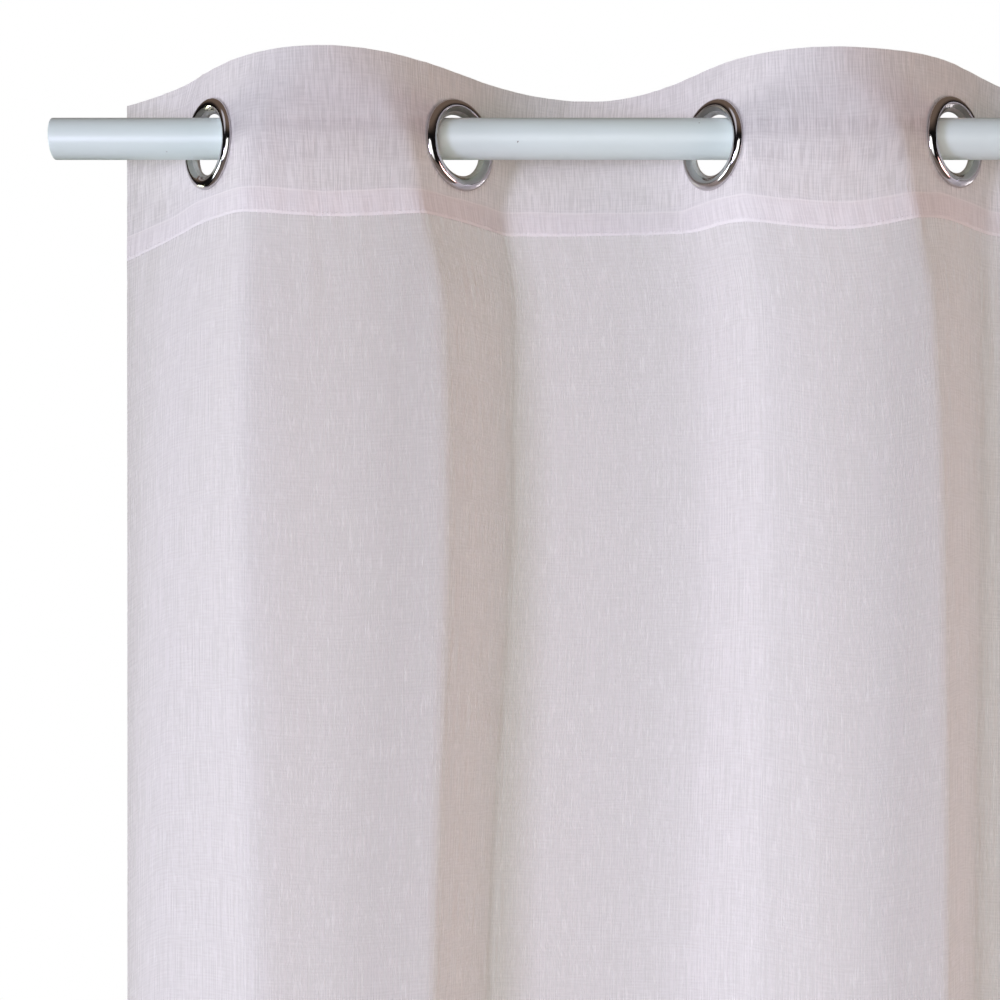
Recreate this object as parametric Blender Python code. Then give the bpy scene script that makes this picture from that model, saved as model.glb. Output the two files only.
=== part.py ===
"""Sheer voile curtain on metal eyelets, hanging in soft folds from a round rod.

Units are metres and +Z is up. The origin is the middle of the rod's axis, +X runs along the rod and
-Y is the room side. The short tables below are in millimetres and degrees.
"""

import math
from typing import NamedTuple

import bmesh
import bpy
from mathutils import Matrix

MM = 0.001
GAP = 0.3 * MM

ROD_LENGTH = 1.273
ROD_RADIUS = 12.5 * MM
ROD_SIDES = 32
ROD_END_BEVEL = 0.8 * MM

EYELET_SIDES = 24
EYELET_NECK_RADIUS = 23.5
EYELET_HALF_GROOVE = 1.3
RING_RUN = 28.5
PUNCH_DEPTH = 8.0 * MM

CURTAIN_LENGTH = 2400.0
HEADING_HEIGHT = 96.0
FLAT_ZONE_TOP = 19.5
FLAT_ZONE_FOOT = 76.5
EDGE_X = 600.0
EDGE_DEPTH = 34.0
HEADING_THICKNESS = 2.0 * MM
PANEL_THICKNESS = 1.2 * MM

ARC_STEPS = 8
EDGE_STEPS = 4
PANEL_ROWS = 15
PANEL_ROW_SPREAD = 1.6
HEADING_ROWS = (0.0, 10.0, FLAT_ZONE_TOP, FLAT_ZONE_FOOT, 86.0, HEADING_HEIGHT)

ARC_HANDLE_SHARE = 0.75
ARC_END_SHARE = 0.125
REST_ROUNDS = 30
REST_STEP_DEGREES = 3
SHARP_ANGLE = math.radians(30.0)


class Eyelet(NamedTuple):
    """Where an eyelet sits, and how the side of the fold that it holds hangs below it.

    run is a share of the level's straight run, and lean and drift move the side along the rod.
    """

    x: float
    slope: float
    top: float
    seam: float
    run: float
    lean: float
    drift: float


class Fold(NamedTuple):
    """The fold between two eyelets: its edges' heights at the crest, and its depths as shares."""

    top: float
    seam: float
    depth: float
    foot_depth: float


class Level(NamedTuple):
    """The folds' plan at one distance below the top edge.

    hold is the share of an eyelet's own slope that is left, and the runs are the half lengths of a
    fold's straight sides. lean and drift are the shares of each eyelet's own values.
    """

    fall: float
    depth: float
    steep_run: float
    gentle_run: float
    hold: float
    steep: float
    gentle: float
    lean: float
    drift: float


class Finish(NamedTuple):
    """A plain surface."""

    name: str
    colour: tuple
    roughness: float
    metallic: float


class ProfilePoint(NamedTuple):
    """A point of half an eyelet's turned section: radius, and distance from the cloth's middle."""

    radius: float
    height: float


EYELETS = (
    Eyelet(x=-539.0, slope=49.0, top=42.2, seam=-51.0, run=1.6, lean=-6.0, drift=-9.0),
    Eyelet(x=-385.1, slope=50.5, top=40.3, seam=-51.9, run=1.0, lean=13.5, drift=-4.0),
    Eyelet(x=-226.0, slope=50.0, top=44.4, seam=-54.1, run=1.0, lean=12.5, drift=9.0),
    Eyelet(x=-77.9, slope=47.5, top=46.5, seam=-51.6, run=1.0, lean=6.0, drift=14.0),
    Eyelet(x=76.0, slope=50.5, top=43.0, seam=-52.0, run=1.3, lean=9.0, drift=-6.0),
    Eyelet(x=231.5, slope=49.5, top=42.4, seam=-53.0, run=0.9, lean=-5.0, drift=-12.0),
    Eyelet(x=384.0, slope=51.0, top=43.6, seam=-52.4, run=1.1, lean=8.0, drift=5.0),
    Eyelet(x=539.0, slope=49.0, top=42.0, seam=-52.0, run=0.95, lean=4.0, drift=10.0),
)

FOLDS = (
    Fold(top=39.4, seam=-56.8, depth=1.00, foot_depth=0.94),
    Fold(top=40.3, seam=-52.8, depth=1.00, foot_depth=1.10),
    Fold(top=38.2, seam=-64.1, depth=1.02, foot_depth=1.04),
    Fold(top=40.0, seam=-55.2, depth=0.97, foot_depth=0.90),
    Fold(top=39.2, seam=-59.0, depth=1.03, foot_depth=1.12),
    Fold(top=40.8, seam=-54.0, depth=0.98, foot_depth=1.02),
    Fold(top=38.8, seam=-58.0, depth=1.01, foot_depth=0.92),
)

LEFT_EDGE_TOP = 31.5
LEFT_EDGE_SEAM = -67.5
RIGHT_EDGE_TOP = 33.0
RIGHT_EDGE_SEAM = -65.0

LEVELS = (
    Level(0.0, 52.0, 15.0, 15.0, 1.0, 60.0, 44.0, 0.0, 0.0),
    Level(FLAT_ZONE_TOP, 48.0, RING_RUN, RING_RUN, 1.0, 60.0, 44.0, 0.0, 0.0),
    Level(FLAT_ZONE_FOOT, 37.0, RING_RUN, RING_RUN, 1.0, 60.0, 44.0, 0.0, 0.0),
    Level(HEADING_HEIGHT, 33.0, 18.0, 18.0, 0.7, 56.0, 42.0, 0.2, 0.0),
    Level(150.0, 33.0, 25.0, 20.0, 0.2, 61.0, 42.0, 0.8, 0.0),
    Level(260.0, 35.0, 28.0, 20.0, 0.0, 64.0, 41.0, 1.0, 0.1),
    Level(600.0, 36.0, 28.0, 21.0, 0.0, 71.0, 40.0, 0.7, 0.4),
    Level(1200.0, 38.0, 28.0, 22.0, 0.0, 66.0, 43.0, 0.3, 0.8),
    Level(1800.0, 39.0, 27.0, 22.0, 0.0, 62.0, 44.0, 0.1, 1.0),
    Level(CURTAIN_LENGTH, 41.0, 26.0, 22.0, 0.0, 58.0, 45.0, 0.0, 1.1),
)

EYELET_HALF_PROFILE = (
    ProfilePoint(EYELET_NECK_RADIUS, EYELET_HALF_GROOVE),
    ProfilePoint(28.0, EYELET_HALF_GROOVE),
    ProfilePoint(26.9, 3.6),
    ProfilePoint(24.3, 4.6),
    ProfilePoint(21.8, 4.0),
    ProfilePoint(19.7, 2.1),
    ProfilePoint(18.4, 0.6),
)

VOILE = Finish("voile", (0.72, 0.69, 0.71, 1.0), roughness=0.92, metallic=0.0)
DOUBLED_VOILE = Finish("doubled_voile", (0.76, 0.73, 0.75, 1.0), roughness=0.92, metallic=0.0)
EYELET_METAL = Finish("eyelet_metal", (0.42, 0.40, 0.41, 1.0), roughness=0.12, metallic=1.0)
ROD_ENAMEL = Finish("rod_enamel", (0.70, 0.76, 0.80, 1.0), roughness=0.35, metallic=0.0)


def clear_scene() -> None:
    """Removes whatever the file held."""
    for obj in list(bpy.data.objects):
        bpy.data.objects.remove(obj, do_unlink=True)


def make_material(finish: Finish) -> bpy.types.Material:
    """A Principled material in the given finish."""
    material = bpy.data.materials.new(finish.name)
    material.use_nodes = True
    shader = material.node_tree.nodes["Principled BSDF"]
    shader.inputs["Base Color"].default_value = finish.colour
    shader.inputs["Roughness"].default_value = finish.roughness
    shader.inputs["Metallic"].default_value = finish.metallic
    return material


def add_object(name: str, bm: bmesh.types.BMesh, material: bpy.types.Material) -> bpy.types.Object:
    """Turns a bmesh into a smooth-shaded object of the scene."""
    mesh = bpy.data.meshes.new(name)
    bm.to_mesh(mesh)
    bm.free()
    mesh.materials.append(material)
    mesh.shade_smooth()
    obj = bpy.data.objects.new(name, mesh)
    bpy.context.scene.collection.objects.link(obj)
    return obj


def smoothstep(share: float) -> float:
    """0 to 1 with level ends."""
    return share * share * (3.0 - 2.0 * share)


def monotone_slopes(xs: list, ys: list) -> list:
    """The slope at each knot of a curve that never swings past its knots."""
    steps = [(ys[k + 1] - ys[k]) / (xs[k + 1] - xs[k]) for k in range(len(xs) - 1)]
    slopes = [steps[0]]
    for before, after in zip(steps, steps[1:]):
        slopes.append(0.0 if before * after <= 0.0 else 2.0 * before * after / (before + after))
    slopes.append(steps[-1])
    return slopes


def level_at(fall: float) -> Level:
    """The folds' plan at any distance below the top edge, read smoothly between the table's rows."""
    falls = [level.fall for level in LEVELS]
    row = min(max(k for k, known in enumerate(falls) if known <= fall), len(LEVELS) - 2)
    width = falls[row + 1] - falls[row]
    share = (fall - falls[row]) / width
    values = [fall]
    for column in list(zip(*LEVELS))[1:]:
        slopes = monotone_slopes(falls, list(column))
        low, high = column[row], column[row + 1]
        rise = high - low
        bend = share * (1.0 - share) ** 2 * slopes[row] * width
        bend += share * share * (share - 1.0) * slopes[row + 1] * width
        values.append(low + rise * smoothstep(share) + bend)
    return Level(*values)


def runs_back(index: int) -> bool:
    """Whether the cloth at an eyelet runs steeply from front to back, seen from the left."""
    return index % 2 == 1


def crossing(level: Level, index: int) -> tuple:
    """Where the cloth crosses the rod's plane at an eyelet: its x, its slope in radians and its half run."""
    eyelet = EYELETS[index]
    steep = runs_back(index)
    free_slope = level.steep if steep else level.gentle
    slope = level.hold * eyelet.slope + (1.0 - level.hold) * free_slope
    x = eyelet.x + level.lean * eyelet.lean + level.drift * eyelet.drift
    run = level.steep_run if steep else level.gentle_run
    run *= 1.0 + (eyelet.run - 1.0) * (1.0 - level.hold)
    return x, math.radians(slope), run


def bezier(points: tuple, share: float) -> tuple:
    """A point of the Bezier curve through two or more plan points."""
    while len(points) > 1:
        points = tuple(
            (a[0] + (b[0] - a[0]) * share, a[1] + (b[1] - a[1]) * share) for a, b in zip(points, points[1:])
        )
    return points[0]


def fold_plan(level: Level, index: int) -> list:
    """Plan points of one fold, from the middle of its left eyelet up to the end of its arc."""
    side = -1.0 if index % 2 == 0 else 1.0
    x0, slope0, run0 = crossing(level, index)
    x1, slope1, run1 = crossing(level, index + 1)
    fold = FOLDS[index]
    foot = level.fall / CURTAIN_LENGTH
    depth = level.depth * (fold.depth + (fold.foot_depth - fold.depth) * foot)
    depth0 = run0 * math.sin(slope0)
    depth1 = run1 * math.sin(slope1)
    reach = (depth - (depth0 + depth1) * ARC_END_SHARE) / ARC_HANDLE_SHARE
    start = (x0 + run0 * math.cos(slope0), side * depth0)
    end = (x1 - run1 * math.cos(slope1), side * depth1)
    start_handle = (start[0] + (reach - depth0) / math.tan(slope0), side * reach)
    end_handle = (end[0] - (reach - depth1) / math.tan(slope1), side * reach)
    corners = (start, start_handle, end_handle, end)
    arc = [bezier(corners, step / ARC_STEPS) for step in range(ARC_STEPS + 1)]
    return [(x0, 0.0)] + arc


def edge_plan(level: Level, index: int, outward: float) -> list:
    """Plan points of the loose width beside an end eyelet, from the eyelet out to the cloth's edge."""
    x0, slope, run = crossing(level, index)
    depth = run * math.sin(slope)
    start = (x0 + outward * run * math.cos(slope), depth)
    handle = (start[0] + outward * (EDGE_DEPTH - depth) / math.tan(slope), EDGE_DEPTH)
    end = (outward * EDGE_X, EDGE_DEPTH)
    return [bezier((start, handle, end), step / EDGE_STEPS) for step in range(EDGE_STEPS + 1)]


def edge_height(start: float, end: float, step: int) -> float:
    """Height beside an end eyelet: it falls away ever faster towards the cloth's edge."""
    share = (step + 1) / (EDGE_STEPS + 1)
    return start + (end - start) * share * share


def fold_height(start: float, crest: float, end: float, step: int) -> float:
    """Height along a fold that goes smoothly from one eyelet over the crest to the next."""
    share = step / (ARC_STEPS + 2)
    if share <= 0.5:
        return start + (crest - start) * smoothstep(2.0 * share)
    return end + (crest - end) * smoothstep(2.0 - 2.0 * share)


def edge_line(top: bool) -> list:
    """The heights of the top edge, or of the heading's lower edge, at every column of the cloth."""
    name = "top" if top else "seam"
    at_eyelets = [getattr(eyelet, name) for eyelet in EYELETS]
    left = LEFT_EDGE_TOP if top else LEFT_EDGE_SEAM
    right = RIGHT_EDGE_TOP if top else RIGHT_EDGE_SEAM
    line = [edge_height(at_eyelets[0], left, step) for step in reversed(range(EDGE_STEPS + 1))]
    for index, fold in enumerate(FOLDS):
        for step in range(ARC_STEPS + 2):
            line.append(fold_height(at_eyelets[index], getattr(fold, name), at_eyelets[index + 1], step))
    line.append(at_eyelets[-1])
    line += [edge_height(at_eyelets[-1], right, step) for step in range(EDGE_STEPS + 1)]
    return line


def plan_line(level: Level) -> list:
    """Plan points of the whole cloth at one level, from its left edge to its right edge."""
    line = edge_plan(level, 0, -1.0)[::-1]
    for index in range(len(FOLDS)):
        line += fold_plan(level, index)
    last = len(EYELETS) - 1
    return line + [(crossing(level, last)[0], 0.0)] + edge_plan(level, last, 1.0)


def cloth_row(fall: float) -> list:
    """The cloth's points at one distance below its top edge, in metres."""
    row = []
    for (x, y), top, seam in zip(plan_line(level_at(fall)), edge_line(True), edge_line(False)):
        if fall <= HEADING_HEIGHT:
            z = top + (seam - top) * fall / HEADING_HEIGHT
        else:
            z = seam - (fall - HEADING_HEIGHT)
        row.append((x * MM, y * MM, z * MM))
    return row


def cloth_sheet(name: str, falls: list, thickness: float, material: bpy.types.Material) -> bpy.types.Object:
    """A sheet of cloth through the rows at the given falls, thickened to both sides."""
    bm = bmesh.new()
    rows = [[bm.verts.new(point) for point in cloth_row(fall)] for fall in falls]
    for upper, lower in zip(rows, rows[1:]):
        for left in range(len(upper) - 1):
            bm.faces.new((upper[left], lower[left], lower[left + 1], upper[left + 1]))
    sheet = add_object(name, bm, material)
    solidify = sheet.modifiers.new("thickness", "SOLIDIFY")
    solidify.thickness = thickness
    solidify.offset = 0.0
    solidify.use_even_offset = True
    return sheet


def full_profile() -> list:
    """The eyelet's closed section, front half and back half."""
    front = [(point.radius, point.height) for point in EYELET_HALF_PROFILE]
    return front + [(radius, -height) for radius, height in reversed(front)]


def eyelet_drop(slope: float) -> float:
    """How far an eyelet's middle hangs below the rod's axis once its throat rests on the rod, in metres."""
    clearance = ROD_RADIUS + GAP
    flat = math.cos(math.pi / EYELET_SIDES)
    low, high = 0.0, EYELET_NECK_RADIUS * MM

    def rests(drop: float) -> bool:
        for radius, height in full_profile():
            for degree in range(0, 360, REST_STEP_DEGREES):
                turn = math.radians(degree)
                across = radius * flat * math.sin(turn) * math.sin(slope) + height * math.cos(slope)
                up = radius * flat * math.cos(turn)
                if math.hypot(across * MM, up * MM - drop) < clearance:
                    return True
        return False

    for _ in range(REST_ROUNDS):
        middle = (low + high) / 2.0
        if rests(middle):
            high = middle
        else:
            low = middle
    return low


def eyelet_frame(index: int) -> Matrix:
    """Places a ring turned about +Z so that it lies in the cloth at its eyelet."""
    eyelet = EYELETS[index]
    slope = math.radians(eyelet.slope)
    turn = slope if runs_back(index) else -slope
    place = Matrix.Translation((eyelet.x * MM, 0.0, -eyelet_drop(slope)))
    return place @ Matrix.Rotation(turn, 4, "Z") @ Matrix.Rotation(math.pi / 2.0, 4, "X")


def eyelet_mesh(material: bpy.types.Material) -> bpy.types.Mesh:
    """The turned ring, clenched over the cloth with a domed flange on each side."""
    bm = bmesh.new()
    section = [bm.verts.new((radius * MM, 0.0, height * MM)) for radius, height in full_profile()]
    edges = [bm.edges.new((section[k - 1], section[k])) for k in range(len(section))]
    bmesh.ops.spin(
        bm,
        geom=section + edges,
        cent=(0.0, 0.0, 0.0),
        axis=(0.0, 0.0, 1.0),
        angle=2.0 * math.pi,
        steps=EYELET_SIDES,
        use_merge=True,
    )
    bmesh.ops.recalc_face_normals(bm, faces=bm.faces)
    mesh = bpy.data.meshes.new("eyelet")
    bm.to_mesh(mesh)
    bm.free()
    mesh.materials.append(material)
    mesh.shade_smooth()
    return mesh


def add_eyelets(material: bpy.types.Material) -> None:
    """Sets one ring in each hole of the heading."""
    mesh = eyelet_mesh(material)
    for index in range(len(EYELETS)):
        obj = bpy.data.objects.new(f"eyelet_{index + 1}", mesh)
        obj.matrix_world = eyelet_frame(index)
        bpy.context.scene.collection.objects.link(obj)


def cut_eyelet_holes(heading: bpy.types.Object, material: bpy.types.Material) -> None:
    """Punches the holes for the eyelets' necks."""
    bm = bmesh.new()
    for index in range(len(EYELETS)):
        bmesh.ops.create_cone(
            bm,
            segments=EYELET_SIDES,
            cap_ends=True,
            radius1=EYELET_NECK_RADIUS * MM + GAP,
            radius2=EYELET_NECK_RADIUS * MM + GAP,
            depth=PUNCH_DEPTH,
            matrix=eyelet_frame(index),
        )
    punch = add_object("eyelet_punch", bm, material)
    punch.hide_render = True
    punch.display_type = "WIRE"
    cut = heading.modifiers.new("eyelet holes", "BOOLEAN")
    cut.operation = "DIFFERENCE"
    cut.object = punch


def add_rod(material: bpy.types.Material) -> None:
    """The plain round rod, with its sharp end edges just broken."""
    bm = bmesh.new()
    bmesh.ops.create_cone(
        bm,
        segments=ROD_SIDES,
        cap_ends=True,
        radius1=ROD_RADIUS,
        radius2=ROD_RADIUS,
        depth=ROD_LENGTH,
        matrix=Matrix.Rotation(math.pi / 2.0, 4, "Y"),
    )
    rims = [edge for edge in bm.edges if abs(edge.verts[0].co.x - edge.verts[1].co.x) < GAP]
    bmesh.ops.bevel(
        bm,
        geom=rims,
        offset=ROD_END_BEVEL,
        segments=1,
        affect="EDGES",
        profile=0.5,
        material=-1,
    )
    rod = add_object("rod", bm, material)
    rod.data.set_sharp_from_angle(angle=SHARP_ANGLE)


def panel_falls() -> list:
    """Distances of the panel's rows below the top edge, close together under the heading."""
    drop = CURTAIN_LENGTH - HEADING_HEIGHT - GAP / MM
    start = HEADING_HEIGHT + GAP / MM
    return [start + drop * (row / PANEL_ROWS) ** PANEL_ROW_SPREAD for row in range(PANEL_ROWS + 1)]


def main() -> None:
    """Builds the curtain and its rod."""
    clear_scene()
    voile = make_material(VOILE)
    doubled_voile = make_material(DOUBLED_VOILE)
    metal = make_material(EYELET_METAL)
    enamel = make_material(ROD_ENAMEL)
    cloth_sheet("panel", panel_falls(), PANEL_THICKNESS, voile)
    heading = cloth_sheet("heading", list(HEADING_ROWS), HEADING_THICKNESS, doubled_voile)
    cut_eyelet_holes(heading, doubled_voile)
    add_eyelets(metal)
    add_rod(enamel)


main()
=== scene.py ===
"""Sheer voile curtain on polished eyelets, hanging from its rod: the dressed pieces, light and camera.

Units are metres and +Z is up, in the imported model's frame: the origin is the middle of the rod's axis, +X
runs along the rod and -Y is the room side. The tables of the hanging shape are in millimetres and degrees.
"""

import logging
import math
from dataclasses import dataclass
from enum import Enum
from typing import NamedTuple

import bmesh
import bpy
from mathutils import Matrix, Vector, noise

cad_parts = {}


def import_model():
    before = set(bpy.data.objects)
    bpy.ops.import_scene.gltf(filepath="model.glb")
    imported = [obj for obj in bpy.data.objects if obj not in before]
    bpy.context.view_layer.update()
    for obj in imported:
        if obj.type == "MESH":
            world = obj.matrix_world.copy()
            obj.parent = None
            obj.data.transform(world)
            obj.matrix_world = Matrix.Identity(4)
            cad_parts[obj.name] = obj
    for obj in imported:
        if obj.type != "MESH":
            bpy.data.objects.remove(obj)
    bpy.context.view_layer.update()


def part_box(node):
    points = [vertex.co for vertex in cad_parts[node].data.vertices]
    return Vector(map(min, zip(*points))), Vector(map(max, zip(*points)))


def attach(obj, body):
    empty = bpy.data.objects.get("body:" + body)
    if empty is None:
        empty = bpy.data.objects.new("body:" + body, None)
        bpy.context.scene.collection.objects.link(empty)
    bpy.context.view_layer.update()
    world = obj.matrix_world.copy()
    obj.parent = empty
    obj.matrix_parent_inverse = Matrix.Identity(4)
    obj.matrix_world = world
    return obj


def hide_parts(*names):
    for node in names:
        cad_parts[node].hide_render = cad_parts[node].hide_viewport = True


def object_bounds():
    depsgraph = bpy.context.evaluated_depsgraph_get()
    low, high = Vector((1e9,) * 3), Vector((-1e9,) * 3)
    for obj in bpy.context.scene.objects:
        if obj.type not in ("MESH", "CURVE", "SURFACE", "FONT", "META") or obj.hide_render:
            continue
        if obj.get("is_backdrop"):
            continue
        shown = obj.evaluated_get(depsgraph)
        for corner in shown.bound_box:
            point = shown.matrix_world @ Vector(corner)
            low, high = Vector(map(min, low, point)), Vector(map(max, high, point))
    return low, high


MM = 0.001
BODY = "root"
LOG = logging.getLogger("curtain")


class Side(Enum):
    """The two sides of the cloth, as the sign of a shift along its normal."""

    ROOM = 1.0
    WINDOW = -1.0


class EyeletPlace(NamedTuple):
    """Where an eyelet sits along the rod, and how the fold's side that it holds hangs below it."""

    x: float
    slope: float
    top: float
    seam: float
    run: float
    lean: float
    drift: float


class FoldShape(NamedTuple):
    """The fold between two eyelets: its edges' heights at the crest, its depths as shares and its shoulders.

    A shoulder turns tighter the more often its Bezier handle counts, and the tilt takes the first one further
    out than the last one.
    """

    top: float
    seam: float
    depth: float
    foot_depth: float
    first_shoulder: int
    last_shoulder: int
    tilt: float = 0.0


class Level(NamedTuple):
    """The folds' plan at one distance below the top edge."""

    fall: float
    depth: float
    steep_run: float
    gentle_run: float
    hold: float
    steep: float
    gentle: float
    lean: float
    drift: float


class ProfilePoint(NamedTuple):
    """A point of an eyelet's turned section: radius, and height above the cloth's middle."""

    radius: float
    height: float


class SoftLight(NamedTuple):
    """A wide light that faces the curtain: where it stands, its size in metres, and its light."""

    name: str
    azimuth: float
    height: float
    distance: float
    size: tuple
    power: float
    colour: tuple


EYELETS = (
    EyeletPlace(-539.0, 49.0, 42.2, -51.0, 1.6, -6.0, -9.0),
    EyeletPlace(-385.1, 50.5, 40.3, -51.9, 1.0, 13.5, -4.0),
    EyeletPlace(-226.0, 50.0, 44.4, -54.1, 1.0, 12.5, 9.0),
    EyeletPlace(-77.9, 47.5, 46.5, -51.6, 1.0, 6.0, 14.0),
    EyeletPlace(76.0, 50.5, 43.0, -52.0, 1.3, 9.0, -6.0),
    EyeletPlace(231.5, 49.5, 42.4, -53.0, 0.9, -5.0, -12.0),
    EyeletPlace(384.0, 51.0, 43.6, -52.4, 1.1, 8.0, 5.0),
    EyeletPlace(539.0, 49.0, 42.0, -52.0, 0.95, 4.0, 10.0),
)

FOLDS = (
    FoldShape(39.4, -56.8, 1.00, 0.94, 3, 5, 4.0),
    FoldShape(40.3, -52.8, 1.00, 1.10, 5, 1),
    FoldShape(38.2, -64.1, 1.02, 1.04, 1, 5),
    FoldShape(40.0, -55.2, 0.97, 0.90, 2, 1),
    FoldShape(39.2, -59.0, 1.03, 1.12, 1, 2),
    FoldShape(40.8, -54.0, 0.98, 1.02, 2, 2),
    FoldShape(38.8, -58.0, 1.01, 0.92, 1, 3),
)

LEVELS = (
    Level(0.0, 52.0, 15.0, 15.0, 1.0, 60.0, 44.0, 0.0, 0.0),
    Level(19.5, 48.0, 28.5, 28.5, 1.0, 60.0, 44.0, 0.0, 0.0),
    Level(76.5, 31.5, 28.5, 28.5, 1.0, 60.0, 44.0, 0.0, 0.0),
    Level(96.0, 31.0, 18.0, 18.0, 0.7, 56.0, 42.0, 0.2, 0.0),
    Level(150.0, 32.0, 24.0, 20.0, 0.2, 60.0, 45.0, 0.85, 0.0),
    Level(260.0, 33.0, 26.0, 20.0, 0.0, 63.0, 44.0, 0.95, 0.1),
    Level(600.0, 32.0, 21.0, 21.0, 0.0, 69.0, 38.0, 0.2, 0.4),
    Level(1200.0, 38.0, 28.0, 22.0, 0.0, 66.0, 43.0, 0.3, 0.8),
    Level(1800.0, 39.0, 27.0, 22.0, 0.0, 62.0, 44.0, 0.1, 1.0),
    Level(2400.0, 41.0, 26.0, 22.0, 0.0, 58.0, 45.0, 0.0, 1.1),
)

EYELET_SECTION = tuple(
    ProfilePoint(*pair)
    for pair in (
        (23.6, 0.62), (27.5, 0.62), (27.9, 0.85), (28.0, 1.35), (27.85, 2.2), (27.3, 3.15),
        (26.4, 3.95), (25.3, 4.42), (24.1, 4.58), (23.0, 4.42), (22.0, 3.95), (21.1, 3.2),
        (20.3, 2.35), (19.5, 1.5), (18.85, 0.75), (18.5, 0.0), (18.6, -0.7), (19.1, -1.35),
        (19.75, -1.95), (20.1, -1.95), (20.25, -2.3), (21.0, -3.1), (21.9, -3.85), (23.0, -4.4),
        (24.2, -4.58), (25.4, -4.4), (26.5, -3.85), (27.35, -3.0), (27.85, -2.1), (28.0, -1.3),
        (27.9, -0.85), (27.5, -0.62), (23.6, -0.62),
    )
)

LIGHTS = (
    SoftLight("far_left", -75.0, -1.0, 4.0, (1.8, 1.2), 5.3, (0.92, 1.0, 1.0)),
    SoftLight("left", -40.0, -1.0, 4.0, (1.0, 1.2), 10.6, (0.77, 0.75, 1.0)),
    SoftLight("front", -10.0, -1.0, 4.0, (3.2, 3.0), 13.4, (0.99, 1.0, 0.98)),
    SoftLight("warm_right", 70.0, -1.0, 4.0, (1.8, 1.2), 7.0, (1.0, 0.60, 0.55)),
    SoftLight("back_left", -125.0, -0.6, 4.0, (1.8, 1.2), 6.3, (0.95, 1.0, 0.70)),
    SoftLight("back_right", 125.0, -0.6, 4.0, (1.8, 1.2), 17.2, (1.0, 0.965, 0.97)),
)


def smoothstep(share: float) -> float:
    """0 to 1 with level ends."""
    share = min(max(share, 0.0), 1.0)
    return share * share * (3.0 - 2.0 * share)


def bezier(points: tuple, share: float) -> tuple:
    """A point of the Bezier curve through two or more plan points.

    Args:
        points: The curve's control points, as (x, y).
        share: 0 at the first point, 1 at the last.

    Returns:
        The point (x, y).
    """
    while len(points) > 1:
        points = tuple(
            (a[0] + (b[0] - a[0]) * share, a[1] + (b[1] - a[1]) * share) for a, b in zip(points, points[1:])
        )
    return points[0]


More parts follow.
